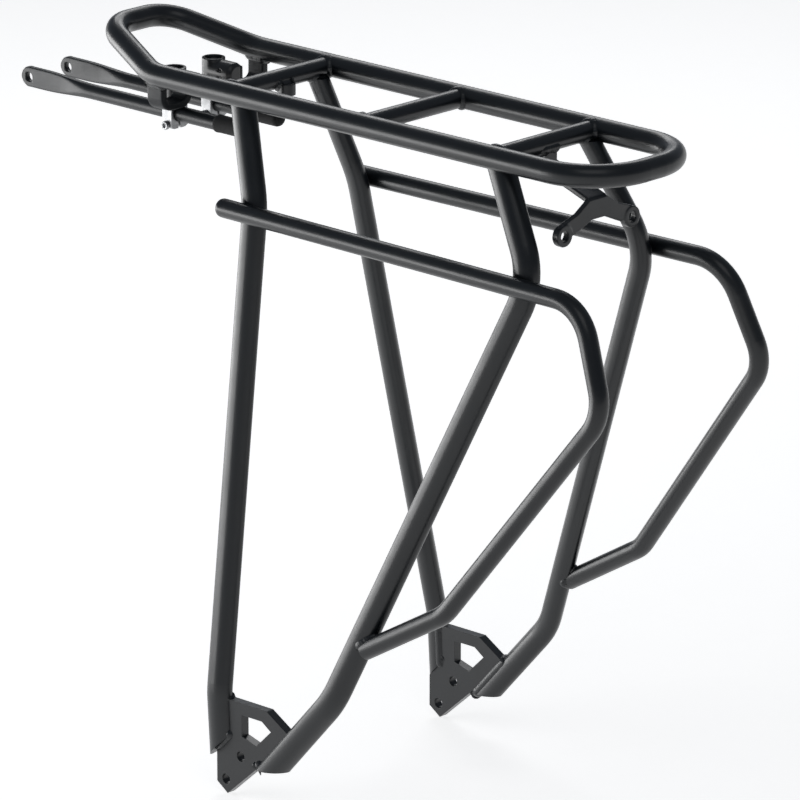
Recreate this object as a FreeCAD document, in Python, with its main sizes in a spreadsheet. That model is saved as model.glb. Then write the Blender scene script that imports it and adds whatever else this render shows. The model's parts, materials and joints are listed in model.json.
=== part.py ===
import FreeCAD, Part
import math
import os
import Sketcher
from FreeCAD import Placement, Rotation, Vector

# Rear rack for a bicycle, welded from bent steel tube, in millimetres.
# +X points to the back of the bicycle, +Y to its right side and +Z up.
# The origin is midway between the two lower mounting eyelets.

# Driving dimensions. A place is given as a distance from the eyelets: back or forward of
# them, or above them. A spacing is measured between the two sides of the rack.
SIZES = {
    # deck loop, one round tube bent into a closed ring
    "deck_tube": 12.0,
    "deck_height": 350.0,
    "deck_spacing": 76.0,
    "deck_back": 214.0,
    "deck_rear_radius": 32.0,
    "nose_start_forward": 94.0,
    "nose_bend_radius": 30.0,
    "nose_tip_forward": 143.5,
    "nose_tip_spacing": 41.0,
    "nose_rise": 13.8,
    "nose_tip_radius": 20.0,
    # three straight crossbars between the deck rails
    "crossbar_tube": 10.0,
    "front_bar_forward": 40.0,
    "middle_bar_back": 54.0,
    "rear_bar_back": 144.0,
    # four legs, bent from oval tube and welded under the front and rear crossbars
    "oval_width": 14.0,
    "oval_thickness": 10.5,
    "oval_nose_radius": 3.5,
    "leg_top_drop": 4.0,
    "front_leg_lead": 0.5,
    "front_leg_spacing": 53.6,
    "rear_leg_lead": 2.0,
    "rear_leg_spacing": 63.6,
    "knee_drop": 56.5,
    "knee_radius": 60.0,
    "front_knee_forward": 20.8,
    "front_knee_spacing": 75.4,
    "rear_knee_back": 174.6,
    "rear_knee_spacing": 84.0,
    "rear_knee_radius": 34.0,
    "foot_radius": 45.0,
    "front_foot_forward": 4.8,
    "front_foot_spacing": 164.0,
    "front_foot_height": 46.6,
    "front_end_forward": 2.0,
    "rear_foot_back": 75.6,
    "rear_foot_spacing": 162.0,
    "rear_foot_height": 60.3,
    "rear_end_back": 33.9,
    "rear_end_height": 14.1,
    "front_cut_height": 21.0,
    "front_cut_angle": 45.0,
    "rear_cut_height": 12.5,
    "rear_cut_angle": 7.0,
    # side rails, which carry the bags outside the legs
    "rail_tube": 10.0,
    "rail_drop": 58.0,
    "rail_tip_ahead": 16.0,
    "rail_tip_rounding": 3.5,
    "rail_top_bend_back": 217.5,
    "rail_top_radius": 26.0,
    "rail_elbow_back": 238.0,
    "rail_elbow_drop": 50.5,
    "rail_elbow_radius": 22.0,
    "rail_low_run": 52.0,
    "rail_low_rise": 30.5,
    "rail_low_radius": 22.0,
    "rail_end_height": 91.0,
    "rail_end_behind_leg": 5.4,
    "rail_end_outside_leg": 0.7,
    "weld_sink": 0.25,
    # dropout plates
    "plate_thickness": 5.0,
    "plate_inset": 1.0,
    "plate_top": 44.0,
    "plate_top_back": 29.4,
    "plate_shoulder_back": 16.0,
    "plate_shoulder_rise": 17.8,
    "plate_front": 6.5,
    "plate_front_drop": 2.5,
    "plate_tip_back": 1.0,
    "plate_tip_drop": 7.6,
    "plate_cut_lap": 1.5,
    "plate_foot_lap": 9.5,
    "eyelet_hole": 5.5,
    "upper_hole_back": 10.7,
    "upper_hole_height": 14.8,
    "window_front": 11.6,
    "window_top": 37.6,
    "window_top_back": 26.0,
    "window_back": 32.4,
    "window_shoulder": 33.4,
    "window_low": 23.2,
    "window_low_back": 21.9,
    "window_heel": 26.0,
    # rear light bracket, placed from the rear crossbar
    "bracket_thickness": 3.0,
    "bracket_root_ahead": 3.0,
    "bracket_root_drop": 8.7,
    "bracket_reach": 35.0,
    "bracket_bend_drop": 22.0,
    "bracket_root_width": 13.0,
    "bracket_neck_width": 13.4,
    "arm_shoulder_spacing": 30.0,
    "arm_shoulder_drop": 4.8,
    "arm_outer_drop": 8.0,
    "arm_low_drop": 15.0,
    "arch_drop": 9.8,
    "arch_top_width": 10.0,
    "arch_foot_spacing": 34.0,
    "light_hole_spacing": 50.0,
    "light_hole_drop": 14.0,
    "light_hole": 5.5,
    "light_eye_wall": 2.8,
    "light_eye_length": 4.0,
    "block_length": 8.0,
    "block_width": 9.0,
    "block_behind_bar": 0.4,
    # mudguard boss behind and below the front crossbar
    "boss_size": 9.4,
    "boss_behind_bar": 5.2,
    "boss_height": 5.8,
    "boss_reach": 2.4,
    "boss_thread": 4.2,
    "boss_thread_depth": 3.4,
    # stay hangers, bent from flat bar below the deck rails
    "hanger_width": 11.0,
    "hanger_thickness": 4.0,
    "hanger_forward": 91.8,
    "hanger_drop": 19.5,
    "hanger_bend_radius": 3.5,
    "hanger_lip": 3.6,
    "hanger_weld_lap": 1.0,
    # knuckles, bolted to the hangers, each with an upright sleeve
    "stay_spacing": 28.6,
    "sleeve_size": 12.3,
    "sleeve_ahead_of_bolt": 10.0,
    "sleeve_rise": 6.7,
    "sleeve_length": 18.0,
    "cup_size": 8.8,
    "cup_depth": 5.4,
    "barrel_drop": 8.7,
    "barrel_behind_bolt": 7.2,
    "barrel_chamfer": 1.6,
    "barrel_flat": 2.2,
    "knuckle_bolt": 5.0,
    "knuckle_bolt_head": 7.6,
    "knuckle_bolt_head_height": 2.4,
    "knuckle_bolt_chamfer": 1.1,
    "knuckle_bolt_depth": 8.0,
    # eye bolts that hold the stays
    "shank_size": 6.0,
    "shank_below_rim": 1.6,
    "eye_length": 7.0,
    "eye_width": 12.0,
    "eye_height": 14.0,
    "eye_rounding": 2.5,
    "eye_slit": 1.4,
    "pinch_screw": 2.4,
    "pinch_screw_rise": 2.1,
    "pinch_head": 4.6,
    "pinch_head_height": 2.0,
    "pinch_nut": 4.6,
    "pinch_nut_height": 2.0,
    "pinch_screw_end": 0.6,
    "nut_size": 8.2,
    "nut_height": 3.6,
    "nut_chamfer": 0.6,
    # stays
    "stay_rod": 8.0,
    "stay_below_eye_top": 6.2,
    "stay_front_reach": 107.8,
    "stay_rear_reach": 49.8,
    "stay_hole": 5.5,
    "stay_eye": 11.0,
    "stay_eye_thickness": 4.0,
    "stay_flat_length": 28.0,
    "stay_taper_length": 16.0,
    "cap_wall": 0.8,
    "cap_length": 18.0,
    "cap_end_wall": 1.6,
    "cap_chamfer": 1.6,
    # clearances
    "running_gap": 0.05,
    "seat_gap": 0.05,
    "seat_clearance": 0.3,
    "swivel_gap": 0.2,
}

doc = FreeCAD.newDocument("rear_rack")
sheet = doc.addObject("Spreadsheet::Sheet", "Sizes")


def fill_sheet():
    """Writes every driving dimension into the sheet and names its cell."""
    for row, (name, value) in enumerate(SIZES.items(), start=1):
        sheet.set("A%d" % row, name)
        sheet.set("B%d" % row, str(value))
        sheet.setAlias("B%d" % row, name)
    doc.recompute()


def size(name):
    """Gives a driving dimension from the sheet."""
    return float(sheet.get(name))


# Drawing helpers

def unit(vector):
    """Gives the direction of a vector."""
    return Vector(vector).normalize()


def oval_face(centre, along, across, width, thickness):
    """Makes a tube section square to along, with its width turned to across."""
    if math.isclose(width, thickness):
        return Part.Face(Part.Wire([Part.Circle(centre, along, width / 2).toShape()]))
    broad = unit(across - along * across.dot(along))
    narrow = along.cross(broad)
    small = size("oval_nose_radius")
    half_wide = width / 2
    half_thin = thickness / 2
    shift = half_wide - small
    step = half_thin - small
    rise = (shift ** 2 - step ** 2) / (2 * step)
    lean = math.atan2(shift, rise)
    joint = Vector(shift + small * math.sin(lean), small * math.cos(lean), 0)

    def place(x, y):
        return centre + broad * x + narrow * y

    corners = [place(joint.x, joint.y), place(-joint.x, joint.y)]
    corners += [place(-joint.x, -joint.y), place(joint.x, -joint.y)]
    crowns = [place(0, half_thin), place(-half_wide, 0), place(0, -half_thin), place(half_wide, 0)]
    edges = []
    for index, crown in enumerate(crowns):
        edges.append(Part.Arc(corners[index], crown, corners[(index + 1) % 4]).toShape())
    return Part.Face(Part.Wire(edges))


def bend_tube(points, radii, width, thickness, across):
    """Feeds and bends a tube along straight runs, as a tube bender does."""
    position = points[0]
    along = unit(points[1] - points[0])
    section = oval_face(position, along, across, width, thickness)
    pieces = []
    for corner, radius, following in zip(points[1:-1], radii, points[2:]):
        onward = unit(following - corner)
        turn = along.getAngle(onward)
        setback = radius * math.tan(turn / 2)
        feed = corner - along * setback - position
        pieces.append(section.extrude(feed))
        section = section.translated(feed)
        hinge = unit(along.cross(onward))
        centre = corner - along * setback + hinge.cross(along) * radius
        pieces.append(section.revolve(centre, hinge, math.degrees(turn)))
        section = section.rotated(centre, hinge, math.degrees(turn))
        position = corner + onward * setback
        along = onward
    pieces.append(section.extrude(points[-1] - position))
    return pieces[0].multiFuse(pieces[1:]).removeSplitter()


def mirrored(shape):
    """Gives the shape's image on the other side of the rack."""
    return shape.mirror(Vector(0, 0, 0), Vector(0, 1, 0))


def half_space(x, z, angle, reach):
    """Makes a block below a sloping plane that runs across the rack."""
    block = Part.makeBox(2 * reach, 2 * reach, reach, Vector(-reach, -reach, -reach))
    block.rotate(Vector(0, 0, 0), Vector(0, 1, 0), -angle)
    block.translate(Vector(x, 0, z))
    return block


def add_feature(name, shape):
    """Adds a shape made with Part's functions to the document."""
    feature = doc.addObject("Part::Feature", name)
    feature.Shape = shape
    feature.Placement = Placement()
    return feature


def add_body(name):
    """Adds a body, whose sketches hang on its own origin planes."""
    return doc.addObject("PartDesign::Body", name)


def add_sketch(body, role, name):
    """Adds a sketch on one of a body's origin planes."""
    sketch = body.newObject("Sketcher::SketchObject", name)
    plane = [item for item in body.Origin.OriginFeatures if item.Role == role][0]
    sketch.AttachmentSupport = [(plane, "")]
    sketch.MapMode = "FlatFace"
    return sketch


def bind(thing, path, formula):
    """Ties one property to the sheet, where a name stands for a cell."""
    words = []
    for word in formula.split():
        words.append("Sizes." + word if word in SIZES else word)
    thing.setExpression(path, " ".join(words))


def hold(sketch, kind, geometry, point, formula, sign=1.0):
    """Holds a point of the sketch at a bound distance from its origin."""
    number = sketch.addConstraint(Sketcher.Constraint(kind, -1, 1, geometry, point, sign))
    bind(sketch, "Constraints[%d]" % number, formula)


def draw_outline(sketch, corners, guess):
    """Draws a closed outline through corners given as pairs of formulas."""
    first = None
    last = None
    count = len(corners)
    for index in range(count):
        start = Vector(*guess[index], 0)
        end = Vector(*guess[(index + 1) % count], 0)
        line = sketch.addGeometry(Part.LineSegment(start, end), False)
        if last is None:
            first = line
        else:
            sketch.addConstraint(Sketcher.Constraint("Coincident", last, 2, line, 1))
        last = line
    sketch.addConstraint(Sketcher.Constraint("Coincident", last, 2, first, 1))
    for index, (x_formula, y_formula) in enumerate(corners):
        x_guess, y_guess = guess[index]
        hold(sketch, "DistanceX", first + index, 1, x_formula, x_guess)
        hold(sketch, "DistanceY", first + index, 1, y_formula, y_guess)


def evaluate(formula):
    """Works out a formula of the sheet's names for a first drawing."""
    words = []
    for word in formula.split():
        words.append("Sizes." + word if word in SIZES else word)
    return float(sheet.evalExpression(" ".join(words)))


def outline(sketch, corners):
    """Draws a closed outline whose corners are formulas of the sheet's names."""
    guess = [(evaluate(x_formula), evaluate(y_formula)) for x_formula, y_formula in corners]
    draw_outline(sketch, corners, guess)


def draw_circle(sketch, x_formula, y_formula, diameter_formula):
    """Draws a circle whose centre and diameter are bound to the sheet."""
    x_guess = evaluate(x_formula)
    y_guess = evaluate(y_formula)
    radius = evaluate(diameter_formula) / 2
    circle = sketch.addGeometry(Part.Circle(Vector(x_guess, y_guess, 0), Vector(0, 0, 1), radius))
    hold(sketch, "DistanceX", circle, 3, x_formula, x_guess)
    hold(sketch, "DistanceY", circle, 3, y_formula, y_guess)
    number = sketch.addConstraint(Sketcher.Constraint("Diameter", circle, 2 * radius))
    bind(sketch, "Constraints[%d]" % number, diameter_formula)


def pad(body, sketch, formula, centred):
    """Pads a sketch by a bound length, on one side or on both."""
    feature = body.newObject("PartDesign::Pad", sketch.Name + "_pad")
    feature.Profile = sketch
    feature.Midplane = centred
    bind(feature, "Length", formula)
    return feature


def cut_through(body, sketch):
    """Cuts a sketch right through its body."""
    feature = body.newObject("PartDesign::Pocket", sketch.Name + "_pocket")
    feature.Profile = sketch
    feature.Type = 1
    feature.Midplane = True
    return feature


def add_cylinder(name, diameter, length, place, turn=Rotation()):
    """Adds a cylinder bound to the sheet, placed by three formulas."""
    cylinder = doc.addObject("Part::Cylinder", name)
    bind(cylinder, "Radius", "( " + diameter + " ) / 2")
    bind(cylinder, "Height", length)
    cylinder.Placement = Placement(Vector(), turn)
    for axis, formula in zip("xyz", place):
        bind(cylinder, "Placement.Base." + axis, formula)
    return cylinder


def add_fuse(name, shapes):
    """Adds the union of several objects."""
    fuse = doc.addObject("Part::MultiFuse", name)
    fuse.Shapes = shapes
    fuse.Refine = True
    return fuse


def add_cut(name, base, tool):
    """Adds one object less another."""
    cut = doc.addObject("Part::Cut", name)
    cut.Base = base
    cut.Tool = tool
    cut.Refine = True
    return cut


def add_twin(name, source):
    """Adds the mirror image of an object, on the rack's right side."""
    twin = doc.addObject("Part::Mirroring", name)
    twin.Source = source
    twin.Base = Vector(0, 0, 0)
    twin.Normal = Vector(0, 1, 0)
    return twin


ALONG_X = Rotation(Vector(0, 1, 0), 90)
ALONG_Y = Rotation(Vector(1, 0, 0), -90)


# Tubes

def make_deck_loop():
    """Makes the deck: two straight rails, a rounded rear end and a raised nose."""
    half = size("deck_spacing") / 2
    height = size("deck_height")
    back = size("deck_back")
    tip_half = size("nose_tip_spacing") / 2
    tip_forward = -size("nose_tip_forward")
    tip_height = height + size("nose_rise")
    start = -size("nose_start_forward")
    points = [
        Vector(back, 0, height),
        Vector(back, half, height),
        Vector(start, half, height),
        Vector(tip_forward, tip_half, tip_height),
        Vector(tip_forward, -tip_half, tip_height),
        Vector(start, -half, height),
        Vector(back, -half, height),
        Vector(back, 0, height),
    ]
    rear = size("deck_rear_radius")
    bend = size("nose_bend_radius")
    tip = size("nose_tip_radius")
    radii = [rear, bend, tip, tip, bend, rear]
    tube = size("deck_tube")
    return bend_tube(points, radii, tube, tube, Vector(0, 0, 1))


def front_knee():
    """Gives the place of the front leg's upper bend."""
    height = size("deck_height") - size("knee_drop")
    return Vector(-size("front_knee_forward"), size("front_knee_spacing") / 2, height)


def rear_knee():
    """Gives the place of the rear leg's upper bend."""
    height = size("deck_height") - size("knee_drop")
    return Vector(size("rear_knee_back"), size("rear_knee_spacing") / 2, height)


def rear_foot():
    """Gives the place of the rear leg's lower bend."""
    return Vector(size("rear_foot_back"), size("rear_foot_spacing") / 2, size("rear_foot_height"))


def bend_leg(top, bends, foot_cut):
    """Makes a right leg: an oval tube bent at its knee and foot, cut level at its top."""
    along = unit(bends[0] - top)
    start = top - along * size("oval_width")
    across = Rotation(Vector(0, 1, 0), along).multVec(Vector(1, 0, 0))
    radii = [size("knee_radius"), size("foot_radius")]
    if top.x > 0:
        radii[0] = size("rear_knee_radius")
    leg = bend_tube([start] + bends, radii, size("oval_width"), size("oval_thickness"), across)
    reach = size("deck_height")
    above = Vector(-reach, -reach, reach - size("leg_top_drop"))
    return leg.cut(Part.makeBox(2 * reach, 2 * reach, reach, above)).cut(foot_cut)


def make_front_leg():
    """Makes the right front leg, from the front crossbar down to the dropout plate."""
    height = size("deck_height")
    foot_half = size("front_foot_spacing") / 2
    lead = -size("front_bar_forward") - size("front_leg_lead")
    top = Vector(lead, size("front_leg_spacing") / 2, height)
    bends = [
        front_knee(),
        Vector(-size("front_foot_forward"), foot_half, size("front_foot_height")),
        Vector(-size("front_end_forward"), foot_half, 0),
    ]
    foot_cut = half_space(0, size("front_cut_height"), size("front_cut_angle"), height)
    return bend_leg(top, bends, foot_cut)


def make_rear_leg():
    """Makes the right rear leg, from the rear crossbar down to the dropout plate."""
    height = size("deck_height")
    foot = rear_foot()
    end = Vector(size("rear_end_back"), size("rear_foot_spacing") / 2, size("rear_end_height"))
    past_end = end + unit(end - foot) * size("oval_width")
    lead = size("rear_bar_back") - size("rear_leg_lead")
    top = Vector(lead, size("rear_leg_spacing") / 2, height)
    foot_cut = half_space(end.x, size("rear_cut_height"), size("rear_cut_angle"), height)
    return bend_leg(top, [rear_knee(), foot, past_end], foot_cut)


def make_crossbar(name, place, deck):
    """Adds a straight crossbar, coped at both ends to the deck rails."""
    middle = (place, "-1 * deck_spacing / 2", "deck_height")
    blank = add_cylinder(name + "_blank", "crossbar_tube", "deck_spacing", middle, ALONG_Y)
    return add_cut(name, blank, deck)


def make_frame_tubes():
    """Adds the deck loop, its three crossbars and the four legs."""
    deck = add_feature("deck_loop", make_deck_loop())
    bars = [
        make_crossbar("front_crossbar", "-1 * front_bar_forward", deck),
        make_crossbar("middle_crossbar", "middle_bar_back", deck),
        make_crossbar("rear_crossbar", "rear_bar_back", deck),
    ]
    doc.recompute()
    front = make_front_leg().cut(bars[0].Shape).cut(deck.Shape)
    rear = make_rear_leg().cut(bars[2].Shape).cut(deck.Shape)
    legs = make_pair("front_leg", front) + make_pair("rear_leg", rear)
    return deck, bars, legs


def leg_at(height):
    """Gives the centre of the rear leg at a height between its two bends."""
    knee = rear_knee()
    foot = rear_foot()
    return foot + (knee - foot) * ((height - foot.z) / (knee.z - foot.z))


def make_side_rail(legs):
    """Makes the right side rail, flat in a plane that rests on both legs and ends at the rear one."""
    outward = Vector(0, (size("oval_thickness") + size("rail_tube")) / 2 - size("weld_sink"), 0)
    height = size("deck_height") - size("rail_drop")
    front = front_knee() + outward
    rear = rear_knee() + outward
    end_height = size("rail_end_height")
    end = leg_at(end_height) + Vector(size("rail_end_behind_leg"), size("rail_end_outside_leg"), 0)
    normal = (rear - front).cross(end - front)

    def on_plane(x, z):
        y = front.y - (normal.x * (x - front.x) + normal.z * (z - front.z)) / normal.y
        return Vector(x, y, z)

    points = [
        on_plane(front.x - size("rail_tip_ahead"), height),
        on_plane(size("rail_top_bend_back"), height),
        on_plane(size("rail_elbow_back"), height - size("rail_elbow_drop")),
        on_plane(end.x + size("rail_low_run"), end_height + size("rail_low_rise")),
        end,
    ]
    radii = [size("rail_top_radius"), size("rail_elbow_radius"), size("rail_low_radius")]
    tube = size("rail_tube")
    rail = bend_tube(points, radii, tube, tube, Vector(0, 1, 0))
    closed_end = min(rail.Edges, key=lambda edge: edge.CenterOfMass.x)
    rail = rail.makeFillet(size("rail_tip_rounding"), [closed_end])
    for leg in legs:
        rail = rail.cut(leg.Shape)
    return max(rail.Solids, key=lambda solid: solid.Volume)


# Plates and brackets

def make_dropout_plate(legs):
    """Adds the right dropout plate, coped to both legs, with its window and eyelets."""
    body = add_body("dropout_plate_blank")
    face = add_sketch(body, "XZ_Plane", "plate_outline")
    outline(face, [
        ("-1 * front_foot_forward", "plate_top"),
        ("plate_top_back", "plate_top"),
        ("rear_end_back + plate_shoulder_back", "rear_end_height + plate_shoulder_rise"),
        ("rear_end_back", "rear_end_height"),
        ("rear_end_back - plate_foot_lap", "rear_cut_height + seat_clearance"),
        ("plate_tip_back", "-1 * plate_tip_drop"),
        ("-1 * plate_front", "-1 * plate_front_drop"),
        ("-1 * plate_front", "front_cut_height - plate_front"),
        ("-1 * front_end_forward - plate_cut_lap", "front_cut_height - front_end_forward - plate_cut_lap"),
    ])
    pad(body, face, "plate_thickness", True)
    window = add_sketch(body, "XZ_Plane", "plate_window")
    outline(window, [
        ("window_front", "window_top"),
        ("window_top_back", "window_top"),
        ("window_back", "window_shoulder"),
        ("window_low_back", "window_low"),
        ("window_front", "window_heel"),
    ])
    cut_through(body, window)
    holes = add_sketch(body, "XZ_Plane", "plate_eyelets")
    draw_circle(holes, "0", "0", "eyelet_hole")
    draw_circle(holes, "upper_hole_back", "upper_hole_height", "eyelet_hole")
    cut_through(body, holes)
    bind(body, "Placement.Base.y", "rear_foot_spacing / 2 - plate_inset")
    coped = add_cut("plate_behind_front_leg", body, legs[0])
    return add_cut("right_dropout_plate", coped, legs[1])


def make_light_bracket():
    """Adds the rear light bracket: a sloping tongue that turns down into two arms with eyes."""
    run = size("bracket_reach") + size("bracket_root_ahead")
    fall = size("bracket_bend_drop") - size("bracket_root_drop")
    slope = math.degrees(math.atan2(fall, run))
    tongue = add_body("bracket_tongue")
    top = add_sketch(tongue, "XY_Plane", "tongue_outline")
    across = "%.6f" % math.cos(math.radians(slope))
    length = "( bracket_reach + bracket_root_ahead ) / " + across
    outline(top, [
        ("0", "bracket_root_width / 2"),
        (length, "bracket_neck_width / 2"),
        (length, "-1 * bracket_neck_width / 2"),
        ("0", "-1 * bracket_root_width / 2"),
    ])
    pad(tongue, top, "bracket_thickness", True)
    tongue.Placement = Placement(Vector(), Rotation(Vector(0, 1, 0), slope))
    bind(tongue, "Placement.Base.x", "rear_bar_back - bracket_root_ahead")
    bind(tongue, "Placement.Base.z", "deck_height - bracket_root_drop")
    fork = add_body("bracket_fork")
    front = add_sketch(fork, "YZ_Plane", "fork_outline")
    right = [
        ("bracket_neck_width / 2", "bracket_thickness / 6"),
        ("arm_shoulder_spacing / 2", "-1 * arm_shoulder_drop"),
        ("light_hole_spacing / 2", "-1 * arm_outer_drop"),
        ("light_hole_spacing / 2", "-1 * arm_low_drop"),
        ("arch_foot_spacing / 2", "-1 * arm_low_drop"),
        ("arch_top_width / 2", "-1 * arch_drop"),
    ]
    left = [("-1 * " + y_formula, z_formula) for y_formula, z_formula in reversed(right)]
    outline(front, right + left)
    pad(fork, front, "bracket_thickness", True)
    bind(fork, "Placement.Base.x", "rear_bar_back + bracket_reach")
    bind(fork, "Placement.Base.z", "deck_height - bracket_bend_drop")
    eyes = []
    holes = []
    height = "deck_height - bracket_bend_drop - light_hole_drop"
    middle = "rear_bar_back + bracket_reach"
    for side, sign in (("left", "-1"), ("right", "1")):
        across = sign + " * light_hole_spacing / 2"
        eye_place = (middle + " - light_eye_length / 2", across, height)
        hole_place = (middle + " - light_eye_length", across, height)
        eye_size = "light_hole + 2 * light_eye_wall"
        eyes.append(add_cylinder(side + "_eye", eye_size, "light_eye_length", eye_place, ALONG_X))
        holes.append(add_cylinder(side + "_eye_hole", "light_hole", "light_eye_length * 2", hole_place, ALONG_X))
    solid = add_fuse("bracket_solid", [tongue, fork] + eyes)
    return add_cut("light_bracket", solid, add_fuse("bracket_drill", holes))


def make_bracket_block(bar):
    """Adds the block that joins the light bracket to the rear crossbar."""
    middle = size("rear_bar_back") + size("block_behind_bar")
    deck = size("deck_height")
    low = deck - size("bracket_bend_drop")
    top = deck - size("crossbar_tube") / 4
    length = size("block_length")
    width = size("block_width")
    block = Part.makeBox(length, width, top - low, Vector(middle - length / 2, -width / 2, low))
    run = size("bracket_reach") + size("bracket_root_ahead")
    fall = size("bracket_bend_drop") - size("bracket_root_drop")
    slope = math.atan2(fall, run)
    root = size("rear_bar_back") - size("bracket_root_ahead")
    tongue_top = deck - size("bracket_root_drop") + size("bracket_thickness") / 2 / math.cos(slope)
    plane = half_space(root, tongue_top, -math.degrees(slope), deck)
    shape = block.cut(plane).cut(bar.Shape)
    return add_feature("light_bracket_block", min(shape.Solids, key=lambda solid: solid.CenterOfMass.z))


def make_mudguard_boss(bar):
    """Adds the threaded boss, coped to the lower back of the front crossbar."""
    place = (
        "boss_behind_bar - front_bar_forward",
        "0",
        "deck_height - crossbar_tube / 2 - boss_reach",
    )
    post = add_cylinder("boss_post", "boss_size", "boss_height", place)
    thread = add_cylinder("boss_hole", "boss_thread", "boss_thread_depth", place)
    drilled = add_cut("boss_drilled", post, thread)
    return add_cut("mudguard_boss", drilled, bar)


def knuckle_face():
    """Gives the side of the knuckle's flat, where the hanger sits on it."""
    return size("stay_spacing") / 2 + size("barrel_flat")


def barrel_height():
    """Gives the height of the bolt that joins a knuckle to its hanger."""
    return size("deck_height") - size("barrel_drop")


def make_hanger(deck):
    """Makes the right stay hanger, a flat bar bent into a U under the deck rail."""
    thick = size("hanger_thickness")
    width = size("hanger_width")
    inner = knuckle_face()
    outer = size("deck_spacing") / 2 + thick / 2 - size("hanger_weld_lap")
    floor = size("deck_height") - size("hanger_drop")
    top = size("deck_height")
    lip = barrel_height() + size("hanger_lip")
    x = -size("hanger_forward") - width / 2
    strap = Part.makeBox(width, outer - inner, top - floor, Vector(x, inner, floor))
    notch = Part.makeBox(width, outer - inner - 2 * thick, top, Vector(x, inner + thick, floor + thick))
    bend = size("hanger_bend_radius")
    along = [edge for edge in strap.Edges if edge.CenterOfMass.z < floor + 1 and is_along_x(edge)]
    strap = strap.makeFillet(bend + thick, along)
    along = [edge for edge in notch.Edges if edge.CenterOfMass.z < floor + thick + 1 and is_along_x(edge)]
    strap = strap.cut(notch.makeFillet(bend, along))
    above_lip = Part.makeBox(width, thick, top, Vector(x, inner, lip))
    hole = Part.makeCylinder(
        size("knuckle_bolt") / 2 + size("seat_gap"),
        thick,
        Vector(-size("hanger_forward"), inner, barrel_height()),
        Vector(0, 1, 0),
    )
    strap = strap.cut(above_lip).cut(hole).cut(deck.Shape)
    return min(strap.Solids, key=lambda solid: solid.CenterOfMass.z)


def is_along_x(edge):
    """Tells the straight edges that run along X."""
    return abs(edge.tangentAt(edge.FirstParameter).x) > 0.99


# Front hardware

def sleeve_axis():
    """Gives the foot of the axis on which the right clamp swivels."""
    x = -size("hanger_forward") - size("sleeve_ahead_of_bolt")
    return Vector(x, size("stay_spacing") / 2, 0)


def sleeve_top():
    """Gives the height of the sleeve's rim."""
    return barrel_height() + size("sleeve_rise")


def eye_top():
    """Gives the height of the eye's upper face, just below the sleeve."""
    return sleeve_top() - size("sleeve_length") - size("swivel_gap")


def stay_height():
    """Gives the height of the stay's centre."""
    return eye_top() - size("stay_below_eye_top")


def at(base, z):
    """Gives a place above the foot of an axis."""
    return Vector(base.x, base.y, z)


def make_knuckle():
    """Makes the right knuckle: an upright sleeve with a barrel behind it."""
    axis = sleeve_axis()
    radius = size("sleeve_size") / 2
    length = size("sleeve_length")
    top = sleeve_top()
    bottom = top - length
    sleeve = Part.makeCylinder(radius, length, at(axis, bottom))
    reach = size("sleeve_ahead_of_bolt") + size("barrel_behind_bolt")
    barrel = Part.makeCylinder(radius, reach, at(axis, barrel_height()), Vector(1, 0, 0))
    end = max(barrel.Edges, key=lambda edge: edge.CenterOfMass.x)
    barrel = barrel.makeChamfer(size("barrel_chamfer"), [end])
    seat_front = -size("hanger_forward") - size("hanger_width") / 2 - size("seat_clearance")
    seat = Part.makeBox(reach, radius, 2 * length, Vector(seat_front, knuckle_face(), bottom - radius))
    bore = Part.makeCylinder(size("shank_size") / 2 + size("running_gap"), length, at(axis, bottom))
    cup = Part.makeCylinder(size("cup_size") / 2, size("cup_depth"), at(axis, top - size("cup_depth")))
    tapped = Part.makeCylinder(
        size("knuckle_bolt") / 2 + size("seat_gap"),
        size("knuckle_bolt_depth"),
        Vector(-size("hanger_forward"), knuckle_face(), barrel_height()),
        Vector(0, -1, 0),
    )
    body = sleeve.fuse(barrel)
    return body.cut(seat).cut(bore).cut(cup).cut(tapped).removeSplitter()


def make_knuckle_bolt():
    """Makes the button-head bolt that holds the right knuckle on its hanger."""
    seat = knuckle_face() + size("hanger_thickness") + size("seat_gap")
    place = Vector(-size("hanger_forward"), seat, barrel_height())
    length = size("hanger_thickness") + size("knuckle_bolt_depth") - size("seat_clearance")
    shank = Part.makeCylinder(size("knuckle_bolt") / 2, length, place, Vector(0, -1, 0))
    rise = size("knuckle_bolt_head_height")
    head = Part.makeCylinder(size("knuckle_bolt_head") / 2, rise, place, Vector(0, 1, 0))
    crown = max(head.Edges, key=lambda edge: edge.CenterOfMass.y)
    head = head.makeChamfer(size("knuckle_bolt_chamfer"), [crown])
    return head.fuse(shank).removeSplitter()


def make_eye_bolt():
    """Makes the right eye bolt, whose eye holds the stay and whose shank turns in the knuckle."""
    axis = sleeve_axis()
    length = size("eye_length")
    width = size("eye_width")
    height = size("eye_height")
    low = eye_top() - height
    corner = Vector(axis.x - length / 2, axis.y - width / 2, low)
    block = Part.makeBox(length, width, height, corner)
    along = [edge for edge in block.Edges if is_along_x(edge)]
    block = block.makeFillet(size("eye_rounding"), along)
    shank_top = sleeve_top() - size("shank_below_rim")
    middle = low + height / 2
    shank = Part.makeCylinder(size("shank_size") / 2, shank_top - middle, at(axis, middle))
    hole = Part.makeCylinder(
        size("stay_rod") / 2 + size("running_gap"),
        2 * length,
        Vector(axis.x - length, axis.y, stay_height()),
        Vector(1, 0, 0),
    )
    gap = size("eye_slit")
    slit = Part.makeBox(length, gap, stay_height() - low, Vector(corner.x, axis.y - gap / 2, low))
    screw_hole = Part.makeCylinder(
        size("pinch_screw") / 2 + size("seat_gap"),
        width,
        Vector(axis.x, corner.y, low + size("pinch_screw_rise")),
        Vector(0, 1, 0),
    )
    return block.fuse(shank).cut(hole).cut(slit).cut(screw_hole).removeSplitter()


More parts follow.
